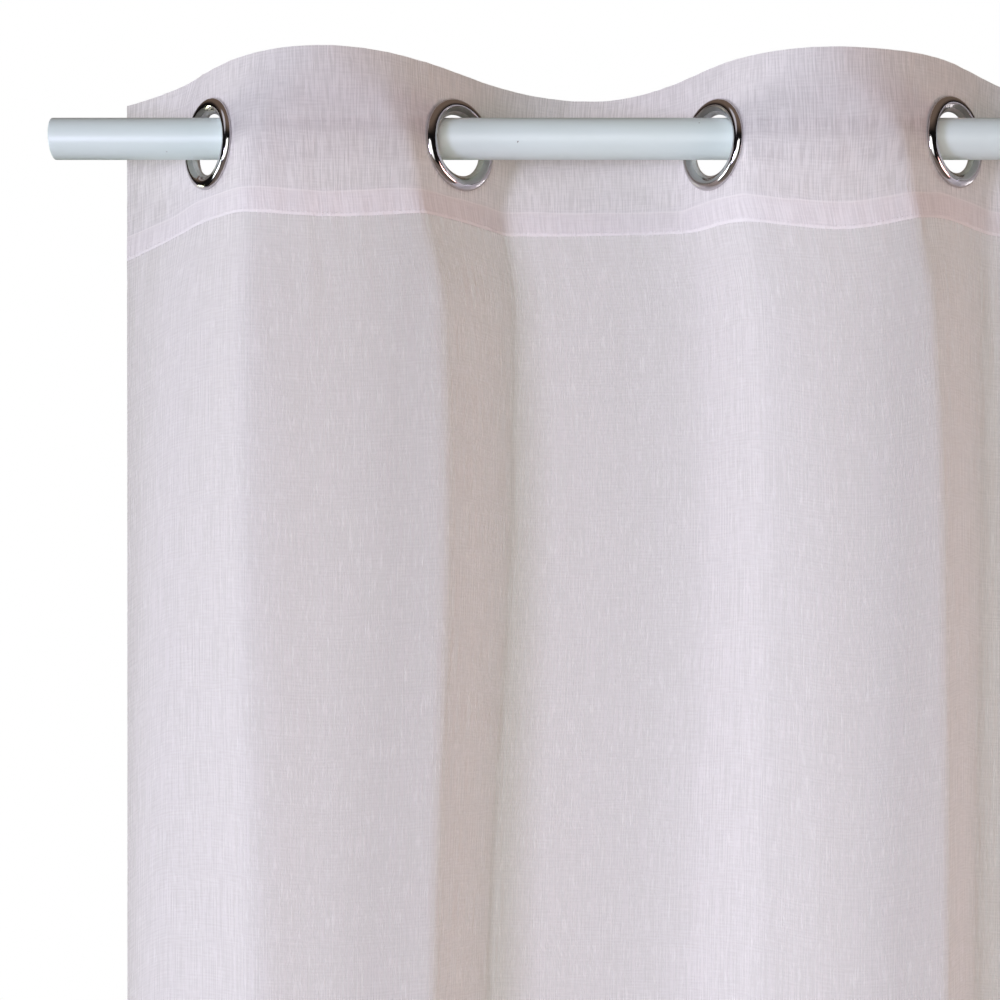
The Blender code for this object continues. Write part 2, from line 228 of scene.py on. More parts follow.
@dataclass
class HangingShape:
    """The curtain's folds as one smooth surface, read at any distance below the top edge.

    Each fold takes ten steps from eyelet to eyelet, of which the first and last are straight, and the loose
    width beside an end eyelet takes five, of which the first is straight.
    """

    curtain_length: float = 2400.0
    heading_height: float = 96.0
    edge_x: float = 600.0
    edge_depth: float = 34.0
    left_edge: tuple = (31.5, -67.5)
    right_edge: tuple = (33.0, -65.0)
    fold_steps: float = 10.0
    edge_steps: float = 5.0
    columns_a_step: int = 5
    shoulder_fall: float = 50.0
    tilt_fall: float = 600.0

    def level_at(self, fall: float) -> Level:
        """The folds' plan at any distance below the top edge, read smoothly between the table's rows.

        Args:
            fall: Millimetres below the top edge.

        Returns:
            The plan there.
        """
        falls = [level.fall for level in LEVELS]
        row = min(max(k for k, known in enumerate(falls) if known <= fall), len(LEVELS) - 2)
        width = falls[row + 1] - falls[row]
        share = (fall - falls[row]) / width
        values = [fall]
        for column in list(zip(*LEVELS))[1:]:
            slopes = self.monotone_slopes(falls, column)
            bend = share * (1.0 - share) ** 2 * slopes[row] * width
            bend += share * share * (share - 1.0) * slopes[row + 1] * width
            values.append(column[row] + (column[row + 1] - column[row]) * smoothstep(share) + bend)
        return Level(*values)

    @staticmethod
    def monotone_slopes(xs: list, ys: tuple) -> list:
        """The slope at each knot of a curve that never swings past its knots.

        Args:
            xs: The knots' places.
            ys: The knots' values.

        Returns:
            One slope for each knot.
        """
        steps = [(ys[k + 1] - ys[k]) / (xs[k + 1] - xs[k]) for k in range(len(xs) - 1)]
        slopes = [steps[0]]
        for before, after in zip(steps, steps[1:]):
            slopes.append(0.0 if before * after <= 0.0 else 2.0 * before * after / (before + after))
        return slopes + [steps[-1]]

    def crossing(self, level: Level, index: int) -> tuple:
        """Where the cloth crosses the rod's plane at an eyelet.

        Args:
            level: The plan that is read.
            index: The eyelet.

        Returns:
            Its x, its slope in radians and the half length of its straight run.
        """
        eyelet = EYELETS[index]
        steep = index % 2 == 1
        slope = level.hold * eyelet.slope + (1.0 - level.hold) * (level.steep if steep else level.gentle)
        x = eyelet.x + level.lean * eyelet.lean + level.drift * eyelet.drift
        run = level.steep_run if steep else level.gentle_run
        return x, math.radians(slope), run * (1.0 + (eyelet.run - 1.0) * (1.0 - level.hold))

    def fold_points(self, level: Level, index: int) -> list:
        """Plan points of one fold, from its left eyelet up to the column before the next.

        Args:
            level: The plan that is read.
            index: The fold.

        Returns:
            The points (x, y) in millimetres.
        """
        side = -1.0 if index % 2 == 0 else 1.0
        x0, slope0, run0 = self.crossing(level, index)
        x1, slope1, run1 = self.crossing(level, index + 1)
        fold = FOLDS[index]
        foot = level.fall / self.curtain_length
        depth = level.depth * (fold.depth + (fold.foot_depth - fold.depth) * foot)
        depth0 = run0 * math.sin(slope0)
        depth1 = run1 * math.sin(slope1)
        start = (x0 + run0 * math.cos(slope0), side * depth0)
        end = (x1 - run1 * math.cos(slope1), side * depth1)
        shoulders = (fold.first_shoulder, fold.last_shoulder)
        turned = smoothstep(level.fall / self.shoulder_fall)
        tilt = fold.tilt * (1.0 - smoothstep(level.fall / self.tilt_fall))
        points = []
        for along in self.steps(self.fold_steps):
            if along < 1.0:
                points.append(bezier(((x0, 0.0), start), along))
            elif along > self.fold_steps - 1.0:
                points.append(bezier((end, (x1, 0.0)), along - self.fold_steps + 1.0))
            else:
                share = (along - 1.0) / (self.fold_steps - 2.0)
                soft = self.arch(start, end, (slope0, slope1), side * depth, (1, 1), 0.0, share)
                hung = self.arch(start, end, (slope0, slope1), side * depth, shoulders, side * tilt, share)
                points.append(tuple(a + (b - a) * turned for a, b in zip(soft, hung)))
        return points

    @staticmethod
    def arch(
        start: tuple, end: tuple, slopes: tuple, depth: float, shoulders: tuple, tilt: float, share: float
    ) -> tuple:
        """A point of the fold's arch between its two straight sides.

        Args:
            start: Where the first side ends, as (x, y).
            end: Where the last side starts.
            slopes: The two sides' slopes in radians.
            depth: How far out the middle of the arch reaches, with its sign.
            shoulders: How often the first and the last handle count.
            tilt: How much further out the first handle is than the middle, and how much less the last one.
            share: 0 at the start, 1 at the end.

        Returns:
            The point (x, y).
        """
        end_share = 0.5 ** (sum(shoulders) + 1)
        reach = (depth - (start[1] + end[1]) * end_share) / (1.0 - 2.0 * end_share)
        out = (reach + tilt, reach - tilt)
        first = (start[0] + abs(out[0] - start[1]) / math.tan(slopes[0]), out[0])
        last = (end[0] - abs(out[1] - end[1]) / math.tan(slopes[1]), out[1])
        return bezier((start, *[first] * shoulders[0], *[last] * shoulders[1], end), share)

    def edge_points(self, level: Level, index: int, outward: float) -> list:
        """Plan points of the loose width beside an end eyelet, from the eyelet outwards.

        Args:
            level: The plan that is read.
            index: The end eyelet.
            outward: -1 for the left edge, 1 for the right edge.

        Returns:
            The points (x, y) in millimetres, the eyelet's own first.
        """
        x0, slope, run = self.crossing(level, index)
        depth = run * math.sin(slope)
        start = (x0 + outward * run * math.cos(slope), depth)
        handle = (start[0] + outward * (self.edge_depth - depth) / math.tan(slope), self.edge_depth)
        end = (outward * self.edge_x, self.edge_depth)
        points = []
        for along in self.steps(self.edge_steps) + [self.edge_steps]:
            if along < 1.0:
                points.append(bezier(((x0, 0.0), start), along))
            else:
                points.append(bezier((start, handle, end), (along - 1.0) / (self.edge_steps - 1.0)))
        return points

    def steps(self, length: float) -> list:
        """The columns' places along a span, without its end."""
        count = round(length * self.columns_a_step)
        return [length * k / count for k in range(count)]

    def heights(self, top: bool) -> list:
        """The height of the top edge, or of the heading's lower edge, at every column.

        Args:
            top: Whether it is the top edge.

        Returns:
            The heights in millimetres.
        """
        at = [eyelet.top if top else eyelet.seam for eyelet in EYELETS]
        ends = [edge[0 if top else 1] for edge in (self.left_edge, self.right_edge)]
        loose = [(along / self.edge_steps) ** 2 for along in self.steps(self.edge_steps) + [self.edge_steps]]
        line = [at[0] + (ends[0] - at[0]) * share for share in loose[:0:-1]]
        for index, fold in enumerate(FOLDS):
            crest = fold.top if top else fold.seam
            for along in self.steps(self.fold_steps):
                share = 2.0 * along / self.fold_steps
                near = at[index] if share <= 1.0 else at[index + 1]
                line.append(near + (crest - near) * smoothstep(min(share, 2.0 - share)))
        return line + [at[-1] + (ends[1] - at[-1]) * share for share in loose]

    def row(self, fall: float) -> list:
        """The cloth's middle points at one distance below its top edge.

        Args:
            fall: Millimetres below the top edge.

        Returns:
            The points in metres, from the left edge to the right edge.
        """
        level = self.level_at(fall)
        plan = self.edge_points(level, 0, -1.0)[:0:-1]
        for index in range(len(FOLDS)):
            plan += self.evenly(self.fold_points(level, index), self.crossing(level, index + 1)[0])
        plan += self.edge_points(level, len(EYELETS) - 1, 1.0)
        line = []
        for (x, y), top, seam in zip(plan, self.heights(True), self.heights(False)):
            if fall <= self.heading_height:
                z = top + (seam - top) * fall / self.heading_height
            else:
                z = seam - (fall - self.heading_height)
            line.append(Vector((x, y, z)) * MM)
        return line

    @staticmethod
    def evenly(points: list, end: float) -> list:
        """The same fold with its columns spread evenly along it, as the cloth's threads are.

        Args:
            points: The fold's plan points from one eyelet on, as (x, y).
            end: The next eyelet's x.

        Returns:
            As many plan points.
        """
        line = points + [(end, 0.0)]
        lengths = [0.0]
        for before, after in zip(line, line[1:]):
            lengths.append(lengths[-1] + math.dist(before, after))
        spread = []
        near = 0
        for k in range(len(points)):
            place = lengths[-1] * k / len(points)
            while lengths[near + 1] < place:
                near += 1
            share = (place - lengths[near]) / (lengths[near + 1] - lengths[near])
            spread.append(bezier((line[near], line[near + 1]), share))
        return spread

    def widths(self) -> list:
        """How far each column is from the left edge along the flat cloth, in metres."""
        points = self.row(0.5 * self.heading_height)
        widths = [0.0]
        for before, after in zip(points, points[1:]):
            widths.append(widths[-1] + (after.xy - before.xy).length)
        return widths


class Wave(NamedTuple):
    """A layer of noise over the flat cloth, in repeats a metre across and down, with a place of its own."""

    across: float
    down: float
    place: float

    def at(self, width: float, drop: float) -> float:
        """The layer's value, about -1 to 1, at a point of the flat cloth in metres."""
        return noise.noise(Vector((width * self.across, drop * self.down, self.place)))


@dataclass
class SoftRelief:
    """The small unevenness of voile that hangs freely, as a shift along the cloth's normal in millimetres."""

    ripple: float = 1.2
    crinkle: float = 0.6
    hung_crinkle: float = 0.25
    hang_fall: float = 160.0
    pucker: float = 0.45
    pucker_reach: float = 14.0
    rim: float = 0.4
    rim_share: float = 0.6
    rim_radius: float = 39.0
    rim_width: float = 6.5
    still_radius: float = 30.0
    free_radius: float = 48.0
    broad: Wave = Wave(15.0, 1.3, 2.0)
    fine: Wave = Wave(42.0, 2.6, 7.0)
    crease: Wave = Wave(95.0, 26.0, 11.0)
    fine_crease: Wave = Wave(190.0, 60.0, 5.0)
    seam_wave: Wave = Wave(120.0, 9.0, 17.0)
    rim_wave: Wave = Wave(22.0, 22.0, 23.0)

    def shift(self, width: float, fall: float, seam_fall: float, ring_distance: float) -> float:
        """How far the cloth stands off its smooth shape at one point.

        Args:
            width: Metres from the left edge along the flat cloth.
            fall: Millimetres below the top edge.
            seam_fall: The same, of the heading's seam.
            ring_distance: Millimetres to the middle of the nearest eyelet.

        Returns:
            The shift in millimetres, positive towards the room.
        """
        drop = fall * MM
        hang = smoothstep((fall - seam_fall) / self.hang_fall)
        shift = self.ripple * hang * (self.broad.at(width, drop) + 0.35 * self.fine.at(width, drop))
        creased = self.crease.at(width, drop) + 0.6 * self.fine_crease.at(width, drop)
        shift += self.crinkle * creased * (1.0 - (1.0 - self.hung_crinkle) * hang)
        near_seam = math.exp(-abs(fall - seam_fall) / self.pucker_reach)
        shift += self.pucker * near_seam * self.seam_wave.at(width, drop)
        free = smoothstep((ring_distance - self.still_radius) / (self.free_radius - self.still_radius))
        away = (ring_distance - self.rim_radius) / self.rim_width
        uneven = self.rim_share + self.rim_wave.at(width, drop)
        return shift * free + self.rim * uneven * math.exp(-away * away)


class NodeSheet:
    """Short calls for a shader's node tree."""

    def __init__(self, tree: bpy.types.NodeTree) -> None:
        """Keeps the tree."""
        self.tree = tree

    def clear(self) -> None:
        """Empties the tree."""
        self.tree.nodes.clear()

    def add(self, kind: str) -> bpy.types.Node:
        """A new node."""
        return self.tree.nodes.new(kind)

    def join(self, source: bpy.types.NodeSocket, target: bpy.types.NodeSocket) -> None:
        """Links two sockets."""
        self.tree.links.new(source, target)

    def put(self, value, socket: bpy.types.NodeSocket) -> None:
        """Links a socket or sets a plain value."""
        if isinstance(value, bpy.types.NodeSocket):
            self.join(value, socket)
        else:
            socket.default_value = value

    def noise(self, place: bpy.types.NodeSocket, scale: tuple, detail: float, roughness: float):
        """Noise with its own scale along each axis.

        Args:
            place: The coordinates.
            scale: Repeats a metre along each axis.
            detail: Octaves.
            roughness: How strong the finer octaves are.

        Returns:
            The noise's value socket.
        """
        mapping = self.add("ShaderNodeMapping")
        mapping.inputs["Scale"].default_value = scale
        self.join(place, mapping.inputs["Vector"])
        texture = self.add("ShaderNodeTexNoise")
        texture.inputs["Scale"].default_value = 1.0
        texture.inputs["Detail"].default_value = detail
        texture.inputs["Roughness"].default_value = roughness
        self.join(mapping.outputs["Vector"], texture.inputs["Vector"])
        return texture.outputs["Fac"]

    def math(self, operation: str, first, second) -> bpy.types.NodeSocket:
        """Two values under one operation."""
        node = self.add("ShaderNodeMath")
        node.operation = operation
        self.put(first, node.inputs[0])
        self.put(second, node.inputs[1])
        return node.outputs[0]

    def multiply(self, first, second) -> bpy.types.NodeSocket:
        """The product of two values."""
        return self.math("MULTIPLY", first, second)

    def span(self, value, start: float, end: float, low: float = 0.0, high: float = 1.0):
        """A value's range start to end, clamped and read as low to high.

        Args:
            value: The socket that is read.
            start: Where low is reached.
            end: Where high is reached.
            low: The result at start.
            high: The result at end.

        Returns:
            The result's socket.
        """
        node = self.add("ShaderNodeMapRange")
        node.inputs["From Min"].default_value = start
        node.inputs["From Max"].default_value = end
        node.inputs["To Min"].default_value = low
        node.inputs["To Max"].default_value = high
        self.join(value, node.inputs["Value"])
        return node.outputs["Result"]

    def blend(self, first, second, share: float) -> bpy.types.NodeSocket:
        """Two values, mixed by a plain share of the second."""
        node = self.add("ShaderNodeMix")
        node.data_type = "FLOAT"
        node.inputs["Factor"].default_value = share
        self.join(first, node.inputs["A"])
        self.join(second, node.inputs["B"])
        return node.outputs["Result"]

    def mix_colour(self, share, first, second) -> bpy.types.NodeSocket:
        """Two colours, mixed by a share of the second."""
        node = self.add("ShaderNodeMix")
        node.data_type = "RGBA"
        self.put(share, node.inputs["Factor"])
        colours = [socket for socket in node.inputs if socket.type == "RGBA"]
        self.put(first, colours[0])
        self.put(second, colours[1])
        return next(socket for socket in node.outputs if socket.type == "RGBA")

    def mix_shader(self, share, first, second) -> bpy.types.NodeSocket:
        """Two shaders, mixed by a share of the second."""
        node = self.add("ShaderNodeMixShader")
        self.put(share, node.inputs["Fac"])
        self.join(first, node.inputs[1])
        self.join(second, node.inputs[2])
        return node.outputs["Shader"]

    def bump(self, height: bpy.types.NodeSocket, strength: float, distance: float) -> bpy.types.NodeSocket:
        """A normal that follows a height, at a distance in metres."""
        node = self.add("ShaderNodeBump")
        node.inputs["Strength"].default_value = strength
        node.inputs["Distance"].default_value = distance
        self.join(height, node.inputs["Height"])
        return node.outputs["Normal"]

    def body(self, inputs: dict) -> bpy.types.NodeSocket:
        """A principled surface.

        Args:
            inputs: The value or socket of each input that isn't left as it comes.

        Returns:
            The surface's socket.
        """
        node = self.add("ShaderNodeBsdfPrincipled")
        for name, value in inputs.items():
            self.put(value, node.inputs[name])
        return node.outputs["BSDF"]

    def cover(self, surface: bpy.types.NodeSocket) -> None:
        """Links a surface to the material's output."""
        self.join(surface, self.add("ShaderNodeOutputMaterial").inputs["Surface"])


def new_finish(name: str) -> tuple:
    """A new material and its empty node sheet.

    Args:
        name: The material's name.

    Returns:
        The material and the sheet.
    """
    material = bpy.data.materials.new(name)
    material.use_nodes = True
    tree = NodeSheet(material.node_tree)
    tree.clear()
    return material, tree


@dataclass(frozen=True)
class VoileFinish:
    """Sheer slubbed voile, on the cloth's own UV map in metres across its flat width and down from its top,
    with a painted highlight along its folded foot and, where set, painted shade along a crease.
    """

    name: str
    colour: tuple
    shade: tuple
    slub_colour: tuple
    band_colour: tuple
    band_shade: tuple
    sheer: float
    glow: float
    slub_bump: float
    band_start: float
    foot: float
    streak_rate: float = 26.0
    warp_rate: float = 1150.0
    weft_rates: tuple = (80.0, 1000.0, 1.0)
    slub_rates: tuple = (760.0, 70.0, 1.0)
    waver_rates: tuple = (26.0, 4.0, 1.0)
    waver: float = 0.7
    # Painted highlight along the folded foot, and the pale line where the turned-in cut edge shows: their
    # colour, width and strength.
    fold_highlight_and_cut_line_colour: tuple = (0.94, 0.91, 0.92, 1.0)
    fold_highlight_and_cut_line_width: float = 1.9
    fold_highlight_and_cut_line_strength: float = 0.6
    # Painted shade along a horizontal crease: where it runs below the top edge, its half width and its
    # strength. The default lies above the cloth, so there is none.
    painted_crease_shade_fall: float = -1.0
    painted_crease_shade_half_width: float = 2.6
    painted_crease_shade_strength: float = 0.35
    bump_depth: float = 0.35

    def build(self) -> bpy.types.Material:
        """Makes the material.

        Returns:
            The new material.
        """
        material, tree = new_finish(self.name)
        cloth = tree.add("ShaderNodeTexCoord").outputs["UV"]
        warp = tree.noise(cloth, (self.warp_rate, self.streak_rate, 1.0), detail=0.0, roughness=0.5)
        weft = tree.noise(cloth, self.weft_rates, detail=0.0, roughness=0.5)
        slubs = tree.span(tree.noise(cloth, self.slub_rates, detail=1.0, roughness=0.6), 0.56, 0.72)
        yarns = tree.blend(warp, weft, 0.25)
        thread = tree.span(yarns, 0.36, 0.64)
        fall = self.wavering_fall(tree, cloth)
        cover = tree.span(fall, self.band_start - 0.3 * MM, self.band_start + 0.3 * MM)
        tone = tree.mix_colour(thread, self.shade, self.colour)
        tone = tree.mix_colour(tree.multiply(slubs, 0.6), tone, self.slub_colour)
        tone = tree.mix_colour(cover, tone, tree.mix_colour(thread, self.band_shade, self.band_colour))
        # Paints a highlight along the folded foot, and the pale line of the turned-in cut edge.
        edges = tree.multiply(self.fold_highlight_and_cut_line(tree, fall), self.fold_highlight_and_cut_line_strength)
        tone = tree.mix_colour(edges, tone, self.fold_highlight_and_cut_line_colour)
        # Painted shade: a soft dark line along a crease, mixed towards the darker thread colour.
        painted_crease_shade = self.line(tree, fall, self.painted_crease_shade_fall, self.painted_crease_shade_half_width * MM)
        tone = tree.mix_colour(tree.multiply(painted_crease_shade, self.painted_crease_shade_strength), tone, self.shade)
        normal = tree.bump(tree.blend(yarns, slubs, 0.3), self.slub_bump, self.bump_depth * MM)
        inputs = {"Base Color": tone, "Roughness": 0.88, "Specular IOR Level": 0.25, "Normal": normal}
        body = tree.body(inputs)
        through = tree.add("ShaderNodeBsdfTranslucent")
        tree.join(tone, through.inputs["Color"])
        tree.join(normal, through.inputs["Normal"])
        glow = tree.span(cover, 0.0, 1.0, low=self.glow, high=0.45 * self.glow)
        lit = tree.mix_shader(glow, body, through.outputs["BSDF"])
        share = tree.span(thread, 0.0, 1.0, low=1.6 * self.sheer, high=0.4 * self.sheer)
        share = tree.multiply(share, tree.span(cover, 0.0, 1.0, low=1.0, high=0.25))
        gaps = tree.add("ShaderNodeBsdfTransparent").outputs["BSDF"]
        outside = tree.mix_shader(share, lit, gaps)
        inside = tree.add("ShaderNodeNewGeometry").outputs["Backfacing"]
        tree.cover(tree.mix_shader(inside, outside, gaps))
        return material

    def wavering_fall(self, tree: NodeSheet, cloth: bpy.types.NodeSocket) -> bpy.types.NodeSocket:
        """The distance below the top edge in metres, wavering as a hand-guided fold does.

        Args:
            tree: The material's nodes.
            cloth: The cloth's UV map.

        Returns:
            The distance's socket.
        """
        parts = tree.add("ShaderNodeSeparateXYZ")
        tree.join(cloth, parts.inputs["Vector"])
        waver = tree.noise(cloth, self.waver_rates, detail=1.0, roughness=0.5)
        waver = tree.span(waver, 0.3, 0.7, low=-self.waver * MM, high=self.waver * MM)
        return tree.math("ADD", parts.outputs["Y"], waver)

    def fold_highlight_and_cut_line(self, tree: NodeSheet, fall: bpy.types.NodeSocket) -> bpy.types.NodeSocket:
        """The thin pale lines: a painted highlight where the cloth is folded at its foot, and the pale line
        where the turned-in cloth's cut edge shows.

        Args:
            tree: The material's nodes.
            fall: The distance below the top edge.

        Returns:
            The socket of the lines, 0 to 1.
        """
        width = self.fold_highlight_and_cut_line_width * MM
        # Painted highlight where the folded foot catches light.
        fold = tree.span(fall, self.foot - 1.2 * width, self.foot - 0.6 * width)
        cut = self.line(tree, fall, self.band_start + 0.15 * width, 0.4 * width)
        return tree.math("MAXIMUM", fold, tree.multiply(cut, 0.6))

    @staticmethod
    def line(
        tree: NodeSheet, fall: bpy.types.NodeSocket, middle: float, half: float
    ) -> bpy.types.NodeSocket:
        """A soft line across the whole cloth.

        Args:
            tree: The material's nodes.
            fall: The distance below the top edge.
            middle: Where the line is strongest.
            half: Half its width.

        Returns:
            The socket of the line, 0 to 1.
        """
        away = tree.math("ABSOLUTE", tree.math("SUBTRACT", fall, middle), 0.0)
        return tree.span(away, 0.2 * half, half, low=1.0, high=0.0)


@dataclass(frozen=True)
class PlainFinish:
    """A finish on Object coordinates with a principled surface."""

    name: str
    colour: tuple

    def inputs(self, tree: NodeSheet, place: bpy.types.NodeSocket) -> dict:
        """The surface's inputs, from the coordinates in metres."""
        raise NotImplementedError

    def build(self) -> bpy.types.Material:
        """Makes the material.

        Returns:
            The new material.
        """
        material, tree = new_finish(self.name)
        place = tree.add("ShaderNodeTexCoord").outputs["Object"]
        tree.cover(tree.body(self.inputs(tree, place)))
        return material


@dataclass(frozen=True)
class PolishedMetal(PlainFinish):
    """Polished, slightly smoky plated metal with a few hairline scuffs."""

    name: str = "smoky_polished_metal"
    colour: tuple = (0.62, 0.60, 0.61, 1.0)
    dull_colour: tuple = (0.54, 0.52, 0.53, 1.0)
    cloud_rates: tuple = (60.0, 60.0, 60.0)
    scuff_rates: tuple = (420.0, 420.0, 2600.0)
    gloss: float = 0.05
    scuffed: float = 0.15
    scuff_bump: float = 0.06
    bump_depth: float = 0.1

    def inputs(self, tree: NodeSheet, place: bpy.types.NodeSocket) -> dict:
        """The surface's inputs, from the coordinates in metres."""
        cloud = tree.span(tree.noise(place, self.cloud_rates, detail=3.0, roughness=0.6), 0.3, 0.7)
        scuffs = tree.noise(place, self.scuff_rates, detail=4.0, roughness=0.7)
        return {
            "Metallic": 1.0,
            "IOR": 1.5,
            "Base Color": tree.mix_colour(cloud, self.colour, self.dull_colour),
            "Roughness": tree.span(scuffs, 0.35, 0.8, low=self.gloss, high=self.scuffed),
            "Normal": tree.bump(scuffs, self.scuff_bump, self.bump_depth * MM),
        }


@dataclass(frozen=True)
class BarrelMetal(PlainFinish):
    """The eyelet's inner barrel: the same plating, left duller by the press, and painted lighter than the
    outside for the brighter reflection of the lit cloth in it.
    """

    name: str = "dull_barrel_metal_painted_lighter"
    # Painted reflection: lighter than the outer plating, for the lit cloth that the barrel mirrors.
    colour: tuple = (0.80, 0.77, 0.78, 1.0)
    worn_colour: tuple = (0.66, 0.63, 0.62, 1.0)
    wear_rates: tuple = (240.0, 240.0, 240.0)
    gloss: float = 0.34
    worn: float = 0.48

    def inputs(self, tree: NodeSheet, place: bpy.types.NodeSocket) -> dict:
        """The surface's inputs, from the coordinates in metres."""
        wear = tree.noise(place, self.wear_rates, detail=3.0, roughness=0.6)
        return {
            "Metallic": 1.0,
            "Base Color": tree.mix_colour(tree.span(wear, 0.35, 0.7), self.colour, self.worn_colour),
            "Roughness": tree.span(wear, 0.3, 0.7, low=self.gloss, high=self.worn),
        }


@dataclass(frozen=True)
class SatinEnamel(PlainFinish):
    """Pale cool enamel on a tube, with a soft gloss and a few dust specks."""

    name: str = "pale_satin_enamel"
    colour: tuple = (0.69, 0.80, 0.79, 1.0)
    worn_colour: tuple = (0.66, 0.77, 0.74, 1.0)
    speck_colour: tuple = (0.20, 0.20, 0.19, 1.0)
    cloud_rates: tuple = (9.0, 40.0, 40.0)
    peel_rates: tuple = (520.0, 520.0, 520.0)
    dust_rates: tuple = (330.0, 330.0, 330.0)
    coat: float = 0.15
    coat_roughness: float = 0.25
    gloss: float = 0.36
    worn: float = 0.48
    peel_bump: float = 0.08
    bump_depth: float = 0.1

    def inputs(self, tree: NodeSheet, place: bpy.types.NodeSocket) -> dict:
        """The surface's inputs, from the coordinates in metres."""
        cloud = tree.noise(place, self.cloud_rates, detail=3.0, roughness=0.5)
        peel = tree.noise(place, self.peel_rates, detail=2.0, roughness=0.5)
        dust = tree.noise(place, self.dust_rates, detail=1.0, roughness=0.4)
        tone = tree.mix_colour(tree.span(cloud, 0.35, 0.7), self.colour, self.worn_colour)
        return {
            "Coat Weight": self.coat,
            "Coat Roughness": self.coat_roughness,
            "Base Color": tree.mix_colour(tree.span(dust, 0.80, 0.83), tone, self.speck_colour),
            "Roughness": tree.span(cloud, 0.2, 0.8, low=self.gloss, high=self.worn),
            "Normal": tree.bump(peel, self.peel_bump, self.bump_depth * MM),
        }


@dataclass(frozen=True)
class ThreadFinish(PlainFinish):
    """Pale sewing thread."""

    name: str = "sewing_thread"
    colour: tuple = (0.80, 0.77, 0.78, 1.0)
    shade: tuple = (0.62, 0.59, 0.60, 1.0)
    twist_rates: tuple = (4200.0, 4200.0, 1600.0)
    sheen: float = 0.2

    def inputs(self, tree: NodeSheet, place: bpy.types.NodeSocket) -> dict:
        """The surface's inputs, from the coordinates in metres."""
        twist = tree.noise(place, self.twist_rates, detail=2.0, roughness=0.6)
        return {
            "Sheen Weight": self.sheen,
            "Base Color": tree.mix_colour(tree.span(twist, 0.35, 0.65), self.shade, self.colour),
            "Roughness": tree.span(twist, 0.3, 0.7, low=0.6, high=0.8),
        }


def make_piece(name: str, bm: bmesh.types.BMesh, material: bpy.types.Material) -> bpy.types.Object:
    """Turns a bmesh into a smooth-shaded piece that rides on the part.

    Args:
        name: The piece's name.
        bm: Its shape, which is freed.
        material: Its finish.

    Returns:
        The new object.
    """
    mesh = bpy.data.meshes.new(name)
    bm.to_mesh(mesh)
    bm.free()
    mesh.materials.append(material)
    mesh.shade_smooth()
    piece = bpy.data.objects.new(name, mesh)
    bpy.context.scene.collection.objects.link(piece)
    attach(piece, BODY)
    return piece


def eyelet_frame(index: int) -> Matrix:
    """Places a ring turned about +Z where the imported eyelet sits.

    Args:
        index: The eyelet.

    Returns:
        The ring's matrix.
    """
    low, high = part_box(f"eyelet_{index + 1}")
    slope = math.radians(EYELETS[index].slope)
    turn = slope if index % 2 == 1 else -slope
    place = Matrix.Translation((low + high) / 2.0)
    return place @ Matrix.Rotation(turn, 4, "Z") @ Matrix.Rotation(math.pi / 2.0, 4, "X")


@dataclass
class ClothSheet:
    """A piece of the curtain's cloth between two distances below its top edge."""

    shape: HangingShape
    relief: SoftRelief
    name: str
    node: str
    slot: str
    finish: VoileFinish
    falls: list
    thickness: float
    front_shift: float = 0.0
    hole_radius: float = 24.2
    sharp_edge: float = 60.0

    def points(self) -> list:
        """The cloth's middle points, row by row from the top.

        Returns:
            Rows of points in metres.
        """
        widths = self.shape.widths()
        holders = self.eyelet_columns()
        rows = []
        for fall in self.falls:
            line = self.shape.row(fall)
            row = []
            for column, point in enumerate(line):
                before = line[max(column - 1, 0)]
                after = line[min(column + 1, len(line) - 1)]
                along = (after - before).xy.normalized()
                near = min(holders, key=lambda holder: abs(holder[0] - column))
                away = math.hypot(widths[column] - widths[near[0]], point.z - near[1]) / MM
                shift = self.relief.shift(widths[column], fall, self.shape.heading_height, away)
                shift = (shift + self.front_shift + 0.5 * self.thickness) * MM
                row.append(point + Vector((along.y, -along.x, 0.0)) * shift)
            rows.append(row)
        return rows

    def eyelet_columns(self) -> list:
        """The column and height of each eyelet's middle."""
        first = round(self.shape.edge_steps * self.shape.columns_a_step)
        each = round(self.shape.fold_steps * self.shape.columns_a_step)
        middles = [eyelet_frame(index).translation.z for index in range(len(EYELETS))]
        return [(first + each * index, z) for index, z in enumerate(middles)]

    def build(self) -> bpy.types.Object:
        """Makes the sheet, with its UV map in metres and its thickness.

        Returns:
            The new piece.
        """
        rows = self.points()
        widths = self.shape.widths()
        bm = bmesh.new()
        bmesh.ops.create_grid(bm, x_segments=len(widths) - 1, y_segments=len(rows) - 1, size=0.5)
        bm.verts.ensure_lookup_table()
        flat = bm.loops.layers.uv.new("cloth")
        places = {}
        for vert in bm.verts:
            column = round((vert.co.x + 0.5) * (len(widths) - 1))
            row = round((0.5 - vert.co.y) * (len(rows) - 1))
            places[vert] = (widths[column], self.falls[row] * MM)
            vert.co = rows[row][column]
        for face in bm.faces:
            for loop in face.loops:
                loop[flat].uv = places[loop.vert]
        self.open_holes(bm)
        bm.normal_update()
        bmesh.ops.solidify(bm, geom=bm.faces[:], thickness=self.thickness * MM)
        piece = make_piece(self.name, bm, self.finish.build())
        piece.data.set_sharp_from_angle(angle=math.radians(self.sharp_edge))
        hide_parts(self.node)
        return piece

    def open_holes(self, bm: bmesh.types.BMesh) -> None:
        """Opens a round hole at each eyelet that the sheet reaches.

        Args:
            bm: The sheet, in place.
        """
        limit = self.hole_radius * MM
        for index in range(len(EYELETS)):
            into_ring = eyelet_frame(index).inverted()
            inside = []
            for vert in bm.verts:
                local = into_ring @ vert.co
                if abs(local.z) < 0.25 * limit and local.xy.length < limit:
                    inside.append(vert)
            if not inside:
                continue
            ring = {edge.other_vert(vert) for vert in inside for edge in vert.link_edges} - set(inside)
            ring |= {vert for face in {f for v in inside for f in v.link_faces} for vert in face.verts}
            ring -= set(inside)
            for vert in ring:
                local = into_ring @ vert.co
                local.xy = local.xy.normalized() * limit
                vert.co = into_ring.inverted() @ local
            bmesh.ops.delete(bm, geom=inside, context="VERTS")


